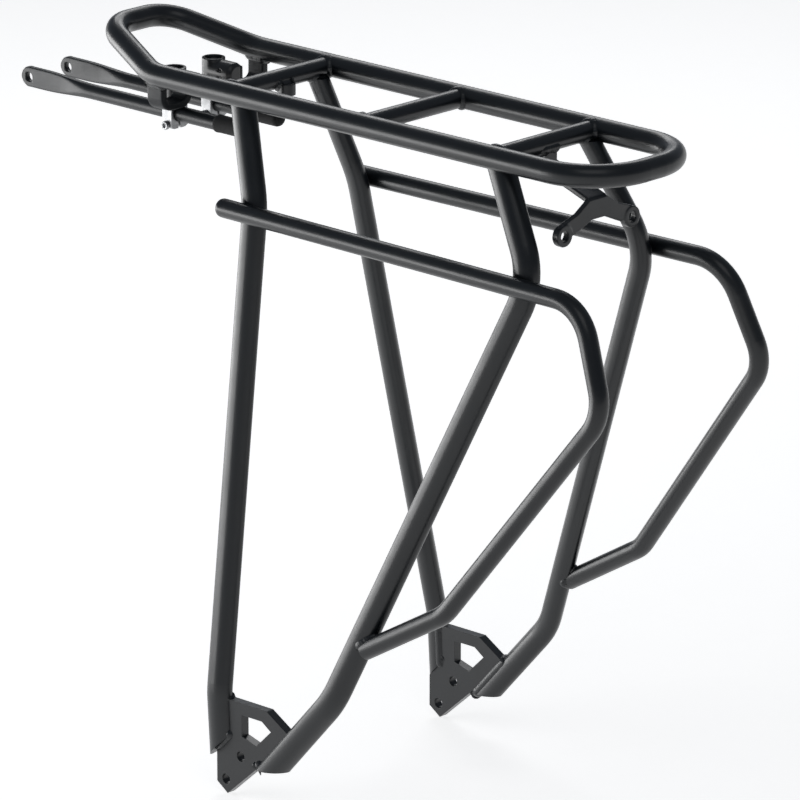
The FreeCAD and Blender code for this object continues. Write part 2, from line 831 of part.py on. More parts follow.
def make_cup_nut():
    """Makes the round nut that sits in the knuckle's cup and holds the eye bolt."""
    seat = at(sleeve_axis(), sleeve_top() - size("cup_depth") + size("swivel_gap"))
    height = size("nut_height")
    nut = Part.makeCylinder(size("nut_size") / 2, height, seat)
    rim = max(nut.Edges, key=lambda edge: edge.CenterOfMass.z)
    nut = nut.makeChamfer(size("nut_chamfer"), [rim])
    return nut.cut(Part.makeCylinder(size("shank_size") / 2 + size("running_gap"), height, seat))


def pinch_place(side):
    """Gives a point on the pinch screw's axis, on one of the eye's two side faces."""
    axis = sleeve_axis()
    half = size("eye_width") / 2 + size("seat_gap")
    height = eye_top() - size("eye_height") + size("pinch_screw_rise")
    return Vector(axis.x, axis.y + side * half, height)


def make_pinch_screw():
    """Makes the small screw that closes the eye, with its head towards the outside."""
    start = pinch_place(1)
    reach = start.y - pinch_place(-1).y + size("pinch_nut_height") + size("pinch_screw_end")
    head = Part.makeCylinder(size("pinch_head") / 2, size("pinch_head_height"), start, Vector(0, 1, 0))
    shank = Part.makeCylinder(size("pinch_screw") / 2, reach, start, Vector(0, -1, 0))
    return head.fuse(shank).removeSplitter()


def make_pinch_nut():
    """Makes the hexagon nut on the end of the pinch screw."""
    start = pinch_place(-1)
    radius = size("pinch_nut") / math.sqrt(3)
    corners = []
    for index in range(7):
        angle = math.radians(60 * index + 30)
        corners.append(start + Vector(radius * math.cos(angle), 0, radius * math.sin(angle)))
    inward = Vector(0, -1, 0)
    thick = size("pinch_nut_height")
    nut = Part.Face(Part.makePolygon(corners)).extrude(inward * thick)
    return nut.cut(Part.makeCylinder(size("pinch_screw") / 2 + size("seat_gap"), thick, start, inward))


def rounded_section(x, y, z, half_width, half_height):
    """Makes a section square to X with round top and bottom corners, in a steady order."""
    corner = half_width * 0.98
    left = y - half_width
    right = y + half_width
    low = z - half_height
    high = z + half_height
    cut = corner * (1 - math.cos(math.radians(45)))
    points = [
        Vector(x, right - corner, high),
        Vector(x, right - cut, high - cut),
        Vector(x, right, high - corner),
        Vector(x, right, low + corner),
        Vector(x, right - cut, low + cut),
        Vector(x, right - corner, low),
        Vector(x, left + corner, low),
        Vector(x, left + cut, low + cut),
        Vector(x, left, low + corner),
        Vector(x, left, high - corner),
        Vector(x, left + cut, high - cut),
        Vector(x, left + corner, high),
    ]
    edges = []
    for start in range(0, 12, 3):
        edges.append(Part.Arc(points[start], points[start + 1], points[start + 2]).toShape())
        edges.append(Part.LineSegment(points[start + 2], points[(start + 3) % 12]).toShape())
    return Part.Wire(edges)


def stay_end():
    """Gives the rearmost point of the stay's cap."""
    return sleeve_axis().x + size("stay_rear_reach")


def make_stay():
    """Makes the right stay: a round rod drawn out to a flat eye at the front."""
    side = size("stay_spacing") / 2
    z = stay_height()
    hole_x = sleeve_axis().x - size("stay_front_reach")
    flat_end = hole_x + size("stay_flat_length")
    round_start = flat_end + size("stay_taper_length")
    rod_end = stay_end() - size("cap_end_wall")
    radius = size("stay_rod") / 2
    half_eye = size("stay_eye") / 2
    thick = size("stay_eye_thickness")
    rod = Part.makeCylinder(radius, rod_end - round_start, Vector(round_start, side, z), Vector(1, 0, 0))
    eye = Part.makeCylinder(half_eye, thick, Vector(hole_x, side - thick / 2, z), Vector(0, 1, 0))
    corner = Vector(hole_x, side - thick / 2, z - half_eye)
    strip = Part.makeBox(flat_end - hole_x, thick, 2 * half_eye, corner)
    flat_section = rounded_section(flat_end, side, z, thick / 2, half_eye)
    round_section = rounded_section(round_start, side, z, radius, radius)
    taper = Part.makeLoft([flat_section, round_section], True, False)
    hole = Part.makeCylinder(size("stay_hole") / 2, thick, Vector(hole_x, side - thick / 2, z), Vector(0, 1, 0))
    return strip.fuse([eye, taper, rod]).cut(hole).removeSplitter()


def make_end_cap():
    """Makes the black cap on the rear end of the right stay."""
    length = size("cap_length")
    start = Vector(stay_end() - length, size("stay_spacing") / 2, stay_height())
    along = Vector(1, 0, 0)
    cap = Part.makeCylinder(size("stay_rod") / 2 + size("cap_wall"), length, start, along)
    rim = max(cap.Edges, key=lambda edge: edge.CenterOfMass.x)
    cap = cap.makeChamfer(size("cap_chamfer"), [rim])
    depth = length - size("cap_end_wall") + size("seat_gap")
    return cap.cut(Part.makeCylinder(size("stay_rod") / 2 + size("seat_gap"), depth, start, along))


def make_pair(name, shape):
    """Adds a right-hand piece and its mirror image on the left."""
    return [add_feature("right_" + name, shape), add_feature("left_" + name, mirrored(shape))]


def build():
    """Builds every sub-part and gives them in the order in which they are written."""
    deck, bars, legs = make_frame_tubes()
    parts = [deck] + bars + legs
    right_legs = [legs[0], legs[2]]
    parts += make_pair("side_rail", make_side_rail(right_legs))
    plate = make_dropout_plate(right_legs)
    parts += [plate, add_twin("left_dropout_plate", plate)]
    bracket = make_light_bracket()
    doc.recompute()
    parts += [bracket, make_bracket_block(bars[2]), make_mudguard_boss(bars[0])]
    parts += make_pair("stay_hanger", make_hanger(deck))
    parts += make_pair("knuckle", make_knuckle())
    parts += make_pair("knuckle_bolt", make_knuckle_bolt())
    parts += make_pair("eye_bolt", make_eye_bolt())
    parts += make_pair("cup_nut", make_cup_nut())
    parts += make_pair("pinch_screw", make_pinch_screw())
    parts += make_pair("pinch_nut", make_pinch_nut())
    parts += make_pair("stay", make_stay())
    parts += make_pair("end_cap", make_end_cap())
    return parts


def check_and_write(parts):
    """Stops on any failed object, then writes one file for each sub-part."""
    doc.recompute()
    for item in doc.Objects:
        if "Invalid" in item.State or "Error" in item.State:
            raise RuntimeError("failed object: " + item.Name)
    for part in parts:
        shape = part.Shape
        if shape.isNull() or not shape.isValid() or not shape.Solids:
            raise RuntimeError("bad shape: " + part.Label)
    os.makedirs("parts", exist_ok=True)
    for part in parts:
        part.Shape.exportStep(os.path.join("parts", part.Label + ".step"))
        box = part.Shape.BoundBox
        print("%-24s solids %d volume %9.1f" % (part.Label, len(part.Shape.Solids), part.Shape.Volume))


fill_sheet()
check_and_write(build())
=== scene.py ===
"""Finish, welds, rounded forgings, fasteners and studio for a bicycle's rear rack.

Everything is in metres, in the rack's own frame: +X points to the back of the bicycle,
+Y to its right side and +Z up. The origin is midway between the lower eyelets.
"""
import json
import math

import bmesh
import bpy
from bpy.props import FloatProperty, FloatVectorProperty, PointerProperty
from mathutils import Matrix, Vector, noise
from mathutils.bvhtree import BVHTree


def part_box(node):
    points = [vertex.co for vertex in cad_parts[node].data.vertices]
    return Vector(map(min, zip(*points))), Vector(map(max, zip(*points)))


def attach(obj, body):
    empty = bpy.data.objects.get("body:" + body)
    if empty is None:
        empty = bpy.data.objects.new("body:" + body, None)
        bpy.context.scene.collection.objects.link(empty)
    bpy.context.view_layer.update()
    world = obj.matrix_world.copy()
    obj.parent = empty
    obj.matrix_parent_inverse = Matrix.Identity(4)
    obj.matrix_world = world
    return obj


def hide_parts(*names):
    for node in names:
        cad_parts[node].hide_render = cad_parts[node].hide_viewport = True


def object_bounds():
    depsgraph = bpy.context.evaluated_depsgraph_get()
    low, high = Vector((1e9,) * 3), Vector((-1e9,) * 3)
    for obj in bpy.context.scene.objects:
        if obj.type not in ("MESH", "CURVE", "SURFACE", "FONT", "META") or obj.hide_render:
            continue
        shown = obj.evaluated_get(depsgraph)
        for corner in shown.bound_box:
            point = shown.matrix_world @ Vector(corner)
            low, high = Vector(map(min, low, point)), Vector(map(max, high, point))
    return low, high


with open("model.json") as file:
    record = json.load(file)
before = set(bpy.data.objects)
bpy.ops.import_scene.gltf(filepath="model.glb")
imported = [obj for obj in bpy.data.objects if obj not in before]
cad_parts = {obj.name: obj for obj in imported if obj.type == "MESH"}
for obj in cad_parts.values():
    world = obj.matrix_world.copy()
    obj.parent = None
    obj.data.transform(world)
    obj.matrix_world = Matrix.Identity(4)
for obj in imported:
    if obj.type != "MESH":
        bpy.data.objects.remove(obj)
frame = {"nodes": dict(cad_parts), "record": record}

bl_info = {
    "name": "Bicycle Rear Rack Finish",
    "version": (1, 0, 0),
    "blender": (4, 5, 0),
    "location": "3D View > Sidebar > Rack",
    "description": "Powder coat, weld beads, fasteners, end caps and a studio for a rear rack",
    "category": "Object",
}

CAD_BOX = [list(corner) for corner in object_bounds()]
NODES = frame["nodes"]
SIDES = ("left", "right")

# What the camera looks at, and where it stands
RACK_MIDDLE = Vector((0.045315, 0.0, 0.195539))
CAMERA_PLACE = Vector((2.4374, -2.5248, 1.2705))
# The floor's half width, its gap below the rack and the white that is added where it is seen
FLOOR_REACH = 12.0
FLOOR_GAP = 0.0006
FLOOR_LIFT = 0.72
# The world is white up to the first height and dim above the second. It lights less than it shows
SKY_HEIGHTS = (0.01, 0.10)
SKY_LIGHT = 0.45
# How near a cut edge lies to the surface it is welded to, how sharp it is, how far apart its
# split corners may be, and how far beside it the other surface is looked for
SEAM_REACH = 0.00012
SHARP_ANGLE = math.radians(12)
SPLIT_GAP = 0.00002
BESIDE_SEAM = 0.0012
# The shortest run that gets a bead, and how much and how often a bead's radius wanders
SHORTEST_BEAD = 0.006
WANDER_SHARE = 0.048
WANDERS_PER_METRE = 420.0
# The stays' blades: half their thickness, their hole, and where they start and end to change
BLADE_HALF_THICKNESS = 0.0017
BLADE_HOLE_RADIUS = 0.00275
BLADE_NARROWS = 0.012
BLADE_ROUNDS = 0.020
BLADE_THICKENS = 0.022
BLADE_END = 0.047
# The bore of the caps, and the height of the knuckle bolts' heads
CAP_BORE_RADIUS = 0.00405
BOLT_HEAD_HEIGHT = 0.0024


# Sizes and colours that a user would change

class RackCoatSettings(bpy.types.PropertyGroup):
    """Colours of the rack's finishes."""

    coat_colour: FloatVectorProperty(
        name="Coat colour",
        description="Colour of the black powder coat",
        subtype="COLOR", size=3, min=0.0, max=1.0, default=(0.0065, 0.0090, 0.0115))
    coat_shade: FloatVectorProperty(
        name="Coat shade",
        description="Slightly deeper colour that the coat drifts to along a tube",
        subtype="COLOR", size=3, min=0.0, max=1.0, default=(0.0048, 0.0067, 0.0088))
    clamp_colour: FloatVectorProperty(
        name="Knuckle colour",
        description="Colour of the black clamp knuckles and their bolts",
        subtype="COLOR", size=3, min=0.0, max=1.0, default=(0.012, 0.0125, 0.014))
    steel_colour: FloatVectorProperty(
        name="Stainless colour",
        description="Colour of the bright eye bolts, nuts and pinch screws",
        subtype="COLOR", size=3, min=0.0, max=1.0, default=(0.40, 0.405, 0.41))
    rubber_colour: FloatVectorProperty(
        name="Cap colour",
        description="Colour of the rubber caps on the stays",
        subtype="COLOR", size=3, min=0.0, max=1.0, default=(0.013, 0.013, 0.014))
    peel_size: FloatProperty(
        name="Orange peel",
        description="Distance between the ripples in the coat's surface",
        subtype="DISTANCE", unit="LENGTH", min=0.0002, max=0.01, default=0.0014)


class RackWeldSettings(bpy.types.PropertyGroup):
    """Sizes of the weld beads."""

    bead_radius: FloatProperty(
        name="Bead radius",
        description="Radius of a weld bead's round section",
        subtype="DISTANCE", unit="LENGTH", min=0.0004, max=0.006, default=0.0030)
    bead_sink: FloatProperty(
        name="Bead sink",
        description="How deep the middle of a bead's section lies in the corner",
        subtype="DISTANCE", unit="LENGTH", min=0.0, max=0.005, default=0.0017)
    ripple_pitch: FloatProperty(
        name="Ripple pitch",
        description="Distance between the ripples along a bead",
        subtype="DISTANCE", unit="LENGTH", min=0.0005, max=0.005, default=0.0016)
    ripple_depth: FloatProperty(
        name="Ripple depth",
        description="How far a ripple stands out from the bead",
        subtype="DISTANCE", unit="LENGTH", min=0.0, max=0.0005, default=0.00007)


class RackStudioSettings(bpy.types.PropertyGroup):
    """Camera and lamps."""

    lens: FloatProperty(
        name="Lens",
        description="Focal length of the camera on a 36 mm sensor",
        subtype="DISTANCE_CAMERA", min=50.0, max=1000.0, default=320.281)
    strip_power: FloatProperty(
        name="Strip lamp",
        description="Power of the low, wide lamp on the camera's left",
        unit="POWER", min=0.0, max=2000.0, default=7.6)
    back_power: FloatProperty(
        name="Back lamp",
        description="Power of the lamp behind and above the rack",
        unit="POWER", min=0.0, max=2000.0, default=4.6)
    fill_power: FloatProperty(
        name="Fill lamp",
        description="Power of the wide lamp overhead",
        unit="POWER", min=0.0, max=2000.0, default=6.0)


# Node trees

def new_material(name):
    """Gives an empty material with its output and a principled shader."""
    material = bpy.data.materials.new(name)
    material.use_nodes = True
    tree = material.node_tree
    tree.nodes.clear()
    output = tree.nodes.new("ShaderNodeOutputMaterial")
    shader = tree.nodes.new("ShaderNodeBsdfPrincipled")
    tree.links.new(shader.outputs["BSDF"], output.inputs["Surface"])
    return material, tree, shader


def add_noise(tree, size, detail=3.0, roughness=0.5, stretch=(1.0, 1.0, 1.0)):
    """Adds noise on the object's own coordinates, with features of one size."""
    place = tree.nodes.new("ShaderNodeTexCoord")
    mapping = tree.nodes.new("ShaderNodeMapping")
    mapping.inputs["Scale"].default_value = stretch
    texture = tree.nodes.new("ShaderNodeTexNoise")
    texture.inputs["Scale"].default_value = 1.0 / size
    texture.inputs["Detail"].default_value = detail
    texture.inputs["Roughness"].default_value = roughness
    tree.links.new(place.outputs["Object"], mapping.inputs["Vector"])
    tree.links.new(mapping.outputs["Vector"], texture.inputs["Vector"])
    return texture.outputs["Fac"]


def remap(tree, value, low, high, from_low=0.3, from_high=0.7):
    """Spreads a value between two limits. Noise mostly lies between 0.3 and 0.7."""
    node = tree.nodes.new("ShaderNodeMapRange")
    node.inputs["From Min"].default_value = from_low
    node.inputs["From Max"].default_value = from_high
    node.inputs["To Min"].default_value = low
    node.inputs["To Max"].default_value = high
    tree.links.new(value, node.inputs["Value"])
    return node.outputs["Result"]


def larger(tree, first, second):
    """Gives the larger of two values."""
    node = tree.nodes.new("ShaderNodeMath")
    node.operation = "MAXIMUM"
    tree.links.new(first, node.inputs[0])
    tree.links.new(second, node.inputs[1])
    return node.outputs[0]


def blend_colours(tree, factor, first, second):
    """Mixes two colours by a factor."""
    node = tree.nodes.new("ShaderNodeMix")
    node.data_type = "RGBA"
    node.inputs["A"].default_value = (*first, 1.0)
    node.inputs["B"].default_value = (*second, 1.0)
    tree.links.new(factor, node.inputs["Factor"])
    return node.outputs["Result"]


def add_bump(tree, height, distance, strength, below=None):
    """Adds a bump, on top of another normal if one is given."""
    node = tree.nodes.new("ShaderNodeBump")
    node.inputs["Distance"].default_value = distance
    node.inputs["Strength"].default_value = strength
    tree.links.new(height, node.inputs["Height"])
    if below is not None:
        tree.links.new(below, node.inputs["Normal"])
    return node.outputs["Normal"]


def add_soft_edges(tree, radius):
    """Rounds hard edges in the shading."""
    node = tree.nodes.new("ShaderNodeBevel")
    node.samples = 4
    node.inputs["Radius"].default_value = radius
    return node.outputs["Normal"]


def powder_coat(name, colour, shade, roughness, peel, gloss=0.45):
    """Makes a satin powder coat: slow colour drift, fine orange peel and dust-dulled patches."""
    material, tree, shader = new_material(name)
    drift = remap(tree, add_noise(tree, 0.045, 2.0), 0.0, 1.0)
    tree.links.new(blend_colours(tree, drift, colour, shade), shader.inputs["Base Color"])
    patches = add_noise(tree, 0.012, 4.0, 0.6)
    tree.links.new(remap(tree, patches, *roughness), shader.inputs["Roughness"])
    shader.inputs["Specular IOR Level"].default_value = gloss
    shader.inputs["Coat Weight"].default_value = gloss * 0.4
    shader.inputs["Coat Roughness"].default_value = 0.18
    edges = add_soft_edges(tree, 0.0005)
    fine = add_bump(tree, add_noise(tree, peel * 0.3, 2.0), 0.00002, 0.25, edges)
    ripple = add_bump(tree, add_noise(tree, peel, 1.5), 0.00006, 0.35, fine)
    tree.links.new(ripple, shader.inputs["Normal"])
    return material


def bright_steel(name, colour):
    """Makes stainless steel with fine turning marks and a little tarnish."""
    material, tree, shader = new_material(name)
    dull = tuple(channel * 0.72 for channel in colour)
    tarnish = remap(tree, add_noise(tree, 0.004, 3.0), 0.0, 1.0)
    tree.links.new(blend_colours(tree, tarnish, colour, dull), shader.inputs["Base Color"])
    shader.inputs["Metallic"].default_value = 1.0
    marks = add_noise(tree, 0.0009, 4.0, 0.6, (1.0, 1.0, 7.0))
    tree.links.new(remap(tree, marks, 0.38, 0.55), shader.inputs["Roughness"])
    edges = add_soft_edges(tree, 0.0003)
    tree.links.new(add_bump(tree, marks, 0.00002, 0.3, edges), shader.inputs["Normal"])
    return material


def cap_rubber(name, colour):
    """Makes moulded rubber with a fine grain."""
    material, tree, shader = new_material(name)
    pale = tuple(channel * 1.9 for channel in colour)
    bloom = remap(tree, add_noise(tree, 0.005, 4.0), 0.0, 0.6)
    tree.links.new(blend_colours(tree, bloom, colour, pale), shader.inputs["Base Color"])
    grain = add_noise(tree, 0.0004, 2.0)
    tree.links.new(remap(tree, grain, 0.5, 0.7), shader.inputs["Roughness"])
    tree.links.new(add_bump(tree, grain, 0.00003, 0.5), shader.inputs["Normal"])
    return material


def paint(item, material):
    """Gives an object one material in every slot."""
    if not item.material_slots:
        item.data.materials.append(material)
    for holder in item.material_slots:
        holder.material = material


def material_named(name):
    """Finds a material that an earlier step made."""
    material = bpy.data.materials.get(name)
    if material is None:
        raise RuntimeError("the coat step makes %s and runs first" % name)
    return material


# Mesh work

def add_piece(name, mesh, body, material):
    """Adds a smooth mesh that moves with a body and takes one material slot's finish."""
    piece = bpy.data.objects.new(name, mesh)
    bpy.context.scene.collection.objects.link(piece)
    for polygon in mesh.polygons:
        polygon.use_smooth = True
    mesh.materials.append(material)
    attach(piece, body)
    return piece


def loft(name, rings, closed=False):
    """Makes a mesh through rings that have as many points each, with its ends capped."""
    mesh = bpy.data.meshes.new(name)
    count = len(rings[0])
    points = [point for ring in rings for point in ring]
    faces = []
    steps = len(rings) if closed else len(rings) - 1
    for index in range(steps):
        here = index * count
        there = ((index + 1) % len(rings)) * count
        for corner in range(count):
            after = (corner + 1) % count
            faces.append((here + corner, here + after, there + after, there + corner))
    if not closed:
        faces.append(tuple(reversed(range(count))))
        faces.append(tuple(range((len(rings) - 1) * count, len(rings) * count)))
    mesh.from_pydata(points, [], faces)
    work = bmesh.new()
    work.from_mesh(mesh)
    bmesh.ops.recalc_face_normals(work, faces=work.faces)
    work.to_mesh(mesh)
    work.free()
    mesh.update()
    return mesh


def hexagon_radius(angle, half_flats):
    """Gives the distance to a hexagon's side in one direction."""
    turn = math.radians(60)
    return half_flats / math.cos((angle % turn) - turn / 2)


def turned_rings(base, axis, profile, count=48):
    """Makes rings about an axis from a profile of (distance along, radius, kind)."""
    axis = axis.normalized()
    side = axis.orthogonal().normalized()
    up = axis.cross(side)
    rings = []
    for along, radius, kind in profile:
        ring = []
        for index in range(count):
            angle = 2 * math.pi * index / count
            reach = radius
            if kind == "hexagon":
                reach = hexagon_radius(angle, radius)
            elif kind == "cut hexagon":
                reach = min(hexagon_radius(angle, radius[0]), radius[1])
            elif kind == "knurl":
                reach = radius * (1.0 - 0.03 * (index % 2))
            outward = side * math.cos(angle) + up * math.sin(angle)
            ring.append(base + axis * along + outward * reach)
        rings.append(ring)
    return rings


def add_turned(name, base, axis, profile, body, material):
    """Adds a piece that is turned about an axis."""
    mesh = loft(name, turned_rings(base, axis, profile))
    return add_piece(name, mesh, body, material)


def node_box(name):
    """Gives a node's lowest corner, highest corner and middle."""
    low, high = (Vector(corner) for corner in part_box(name))
    return low, high, (low + high) / 2


def softened(name, node, grain, rounds):
    """Copies a node's mesh with its edges worn round."""
    blank = bpy.data.objects.new(name + "_blank", NODES[node].data.copy())
    blank.data.materials.clear()
    blank.matrix_world = NODES[node].matrix_world.copy()
    bpy.context.scene.collection.objects.link(blank)
    even = blank.modifiers.new("even", "REMESH")
    even.mode = "VOXEL"
    even.voxel_size = grain
    soft = blank.modifiers.new("soft", "SMOOTH")
    soft.factor = 0.5
    soft.iterations = rounds
    depsgraph = bpy.context.evaluated_depsgraph_get()
    result = bpy.data.meshes.new_from_object(blank.evaluated_get(depsgraph))
    result.transform(blank.matrix_world)
    result.name = name
    bpy.data.objects.remove(blank)
    if not result.polygons:
        raise RuntimeError("rounding left nothing of " + node)
    return result


def ease(value, start, end):
    """Goes smoothly from 0 to 1 between two places."""
    share = min(1.0, max(0.0, (value - start) / (end - start)))
    return share * share * (3 - 2 * share)


def drawn_rod(name, hole, eye, rod, rear):
    """Makes a rod whose front is flattened into a round-ended blade about a hole."""
    stations = [-eye * math.cos(math.radians(7.5 * number)) for number in range(13)]
    stations += [0.0015 * number for number in range(1, 36)]
    straight = stations[-1]
    length = rear - hole.x
    stations += [straight + (length - straight) * number / 10 for number in range(1, 11)]
    blade = eye * 0.985
    rings = []
    for along in stations:
        width = blade - (blade - rod) * ease(along, BLADE_NARROWS, BLADE_END)
        if along < 0:
            width = math.sqrt(max(eye * eye - along * along, 1e-8))
        swell = ease(along, BLADE_THICKENS, BLADE_END)
        thick = BLADE_HALF_THICKNESS + (rod - BLADE_HALF_THICKNESS) * swell
        power = 0.26 + 0.74 * ease(along, BLADE_ROUNDS, BLADE_END)
        ring = []
        for corner in range(40):
            angle = 2 * math.pi * (corner + 0.5) / 40
            across = math.copysign(abs(math.cos(angle)) ** power, math.cos(angle))
            up = math.copysign(abs(math.sin(angle)) ** power, math.sin(angle))
            ring.append(hole + Vector((along, across * thick, up * width)))
        rings.append(ring)
    return loft(name + "_rod", rings)


def drilled(name, mesh, place, radius, depth):
    """Drills a hole across a mesh and gives the result as a new mesh."""
    blank = bpy.data.objects.new(name + "_blank", mesh)
    profile = [(0.0, radius, "round"), (2 * depth, radius, "round")]
    start = place - Vector((0, depth, 0))
    bit = loft(name + "_drill", turned_rings(start, Vector((0, 1, 0)), profile, 32))
    drill = bpy.data.objects.new(name + "_drill", bit)
    for item in (blank, drill):
        bpy.context.scene.collection.objects.link(item)
    cut = blank.modifiers.new("hole", "BOOLEAN")
    cut.operation = "DIFFERENCE"
    cut.object = drill
    cut.solver = "EXACT"
    depsgraph = bpy.context.evaluated_depsgraph_get()
    result = bpy.data.meshes.new_from_object(blank.evaluated_get(depsgraph))
    result.name = name
    for item in (blank, drill):
        bpy.data.objects.remove(item)
    if not result.polygons:
        raise RuntimeError("drilling left nothing of " + name)
    return result


# Weld beads

def welded_mesh(name):
    """Gives a node's mesh with its split corners joined."""
    work = bmesh.new()
    work.from_mesh(NODES[name].data)
    bmesh.ops.remove_doubles(work, verts=work.verts, dist=SPLIT_GAP)
    return work


def seam_edges(work, tree, reach):
    """Finds the sharp edges of a mesh that lie on another mesh's surface."""
    found = []
    for edge in work.edges:
        if len(edge.link_faces) != 2 or edge.calc_face_angle(0.0) < SHARP_ANGLE:
            continue
        close = True
        for corner in edge.verts:
            if tree.find_nearest(corner.co, reach)[0] is None:
                close = False
        if close:
            found.append(edge)
    return found


def chain_up(edges):
    """Puts edges in order, as open or closed runs of points."""
    neighbours = {}
    for edge in edges:
        first, second = edge.verts
        neighbours.setdefault(first, []).append(second)
        neighbours.setdefault(second, []).append(first)
    runs = []
    unused = set(neighbours)
    while unused:
        ends = [corner for corner in unused if len(neighbours[corner]) == 1]
        start = min(ends or unused, key=lambda corner: corner.index)
        run = [start]
        unused.discard(start)
        while True:
            onward = [corner for corner in neighbours[run[-1]] if corner in unused]
            if not onward:
                break
            ahead = min(onward, key=lambda corner: (corner.co - run[-1].co).length)
            run.append(ahead)
            unused.discard(ahead)
        closed = len(run) > 3 and run[0] in neighbours[run[-1]]
        runs.append(([corner.co.copy() for corner in run], closed))
    return runs


def even_steps(points, closed, step):
    """Spaces a run's points evenly."""
    loop = points + [points[0]] if closed else points
    lengths = [0.0]
    for first, second in zip(loop, loop[1:]):
        lengths.append(lengths[-1] + (second - first).length)
    total = lengths[-1]
    count = max(4, round(total / step))
    places = []
    index = 0
    for number in range(count if closed else count + 1):
        target = total * number / count
        while index < len(lengths) - 2 and lengths[index + 1] < target:
            index += 1
        span = max(lengths[index + 1] - lengths[index], 1e-9)
        places.append(loop[index].lerp(loop[index + 1], (target - lengths[index]) / span))
    return places, total


def smooth_run(points, closed, rounds=2):
    """Evens out small kinks in a run."""
    for _ in range(rounds):
        moved = []
        for index, point in enumerate(points):
            if not closed and index in (0, len(points) - 1):
                moved.append(point)
                continue
            before = points[index - 1]
            after = points[(index + 1) % len(points)]
            moved.append(point * 0.5 + (before + after) * 0.25)
        points = moved
    return points


def corner_normal(place, carrier_tree, coped_tree):
    """Gives the outward direction half way between the two surfaces at a seam."""
    carrier = carrier_tree.find_nearest(place)[1]
    coped = coped_tree.find_nearest(place + carrier * BESIDE_SEAM)[1]
    outward = carrier + coped
    return outward.normalized() if outward.length > 0.2 else carrier


def bead_mesh(name, points, closed, settings, trees):
    """Sweeps a rippled round section along a run, sunk into the corner it fills."""
    step = settings.ripple_pitch / 5
    places, total = even_steps(points, closed, step)
    places = smooth_run(places, closed)
    count = len(places)
    ripples = max(1, round(total / settings.ripple_pitch))
    rings = []
    normal = None
    for index, place in enumerate(places):
        before = places[index - 1] if closed or index else place
        after = places[(index + 1) % count] if closed or index < count - 1 else place
        along = (after - before).normalized()
        if normal is None:
            normal = along.orthogonal().normalized()
        normal = (normal - along * normal.dot(along)).normalized()
        across = along.cross(normal)
        wave = abs(math.sin(math.pi * ripples * index / count))
        wander = noise.noise(place * WANDERS_PER_METRE) * WANDER_SHARE
        radius = settings.bead_radius * (1.0 + wander) + settings.ripple_depth * wave
        place = place - corner_normal(place, *trees) * settings.bead_sink
        if not closed:
            nearest_end = min(index, count - 1 - index) * step
            radius *= min(1.0, 0.6 + nearest_end / (3 * settings.bead_radius))
        ring = []
        for corner in range(12):
            angle = 2 * math.pi * corner / 12
            ring.append(place + (normal * math.cos(angle) + across * math.sin(angle)) * radius)
        rings.append(ring)
    return loft(name, rings, closed=closed)


def weld(coped, carrier, settings, material):
    """Lays beads where one node's cut edge sits on the node that carries it."""
    work = welded_mesh(coped)
    tree = BVHTree.FromObject(NODES[carrier], bpy.context.evaluated_depsgraph_get())
    coped_tree = BVHTree.FromBMesh(work)
    laid = 0
    for points, closed in chain_up(seam_edges(work, tree, SEAM_REACH)):
        length = sum((second - first).length for first, second in zip(points, points[1:]))
        if length < SHORTEST_BEAD:
            continue
        laid += 1
        name = "weld_%s_%s_%d" % (coped, carrier, laid)
        mesh = bead_mesh(name, points, closed, settings, (tree, coped_tree))
        add_piece(name, mesh, "rack", material)
    work.free()
    if not laid:
        raise RuntimeError("no seam between %s and %s" % (coped, carrier))


# Operators

class RACK_OT_coat(bpy.types.Operator):
    """Makes the finishes and gives them to the rack's own parts"""

    bl_idname = "rack.coat"
    bl_label = "Coat the Parts"

    def execute(self, context):
        colours = context.scene.rack_coat
        coat = tuple(colours.coat_colour)
        shade = tuple(colours.coat_shade)
        clamp = tuple(colours.clamp_colour)
        peel = colours.peel_size
        finishes = {
            "frame_paint": powder_coat("black_powder_coat", coat, shade, (0.30, 0.40), peel),
            "stay_paint": powder_coat("black_stay_coat", coat, shade, (0.38, 0.50), peel, 0.35),
            "hanger_paint": powder_coat("black_hanger_coat", coat, shade, (0.45, 0.60), peel, 0.25),
            "knuckle_black": powder_coat(
                "black_knuckle_coat", clamp, shade, (0.26, 0.38), peel * 0.7),
            "bolt_black": powder_coat("black_bolt_oxide", clamp, shade, (0.3, 0.46), peel * 0.5),
            "stainless": bright_steel("bright_stainless", tuple(colours.steel_colour)),
            "cap_rubber": cap_rubber("cap_rubber", tuple(colours.rubber_colour)),
        }
        for part in frame["record"]["subparts"]:
            node = part["node"]
            finish = "hanger_paint" if node.endswith("_hanger") else part["material_slot"]
            paint(NODES[node], finishes[finish])
        return {"FINISHED"}


class RACK_OT_welds(bpy.types.Operator):
    """Lays weld beads along the seams between the tubes, plates and brackets"""

    bl_idname = "rack.welds"
    bl_label = "Lay the Welds"

    def execute(self, context):
        settings = context.scene.rack_weld
        material = material_named("black_powder_coat")
        seams = [
            ("front_crossbar", "deck_loop"),
            ("middle_crossbar", "deck_loop"),
            ("rear_crossbar", "deck_loop"),
            ("mudguard_boss", "front_crossbar"),
            ("light_bracket_block", "rear_crossbar"),
            ("light_bracket_block", "light_bracket"),
        ]
        for side in SIDES:
            seams += [
                (side + "_front_leg", "front_crossbar"),
                (side + "_rear_leg", "rear_crossbar"),
                (side + "_side_rail", side + "_front_leg"),
                (side + "_side_rail", side + "_rear_leg"),
                (side + "_dropout_plate", side + "_front_leg"),
                (side + "_dropout_plate", side + "_rear_leg"),
                (side + "_stay_hanger", "deck_loop"),
            ]
        for coped, carrier in seams:
            weld(coped, carrier, settings, material)
        return {"FINISHED"}


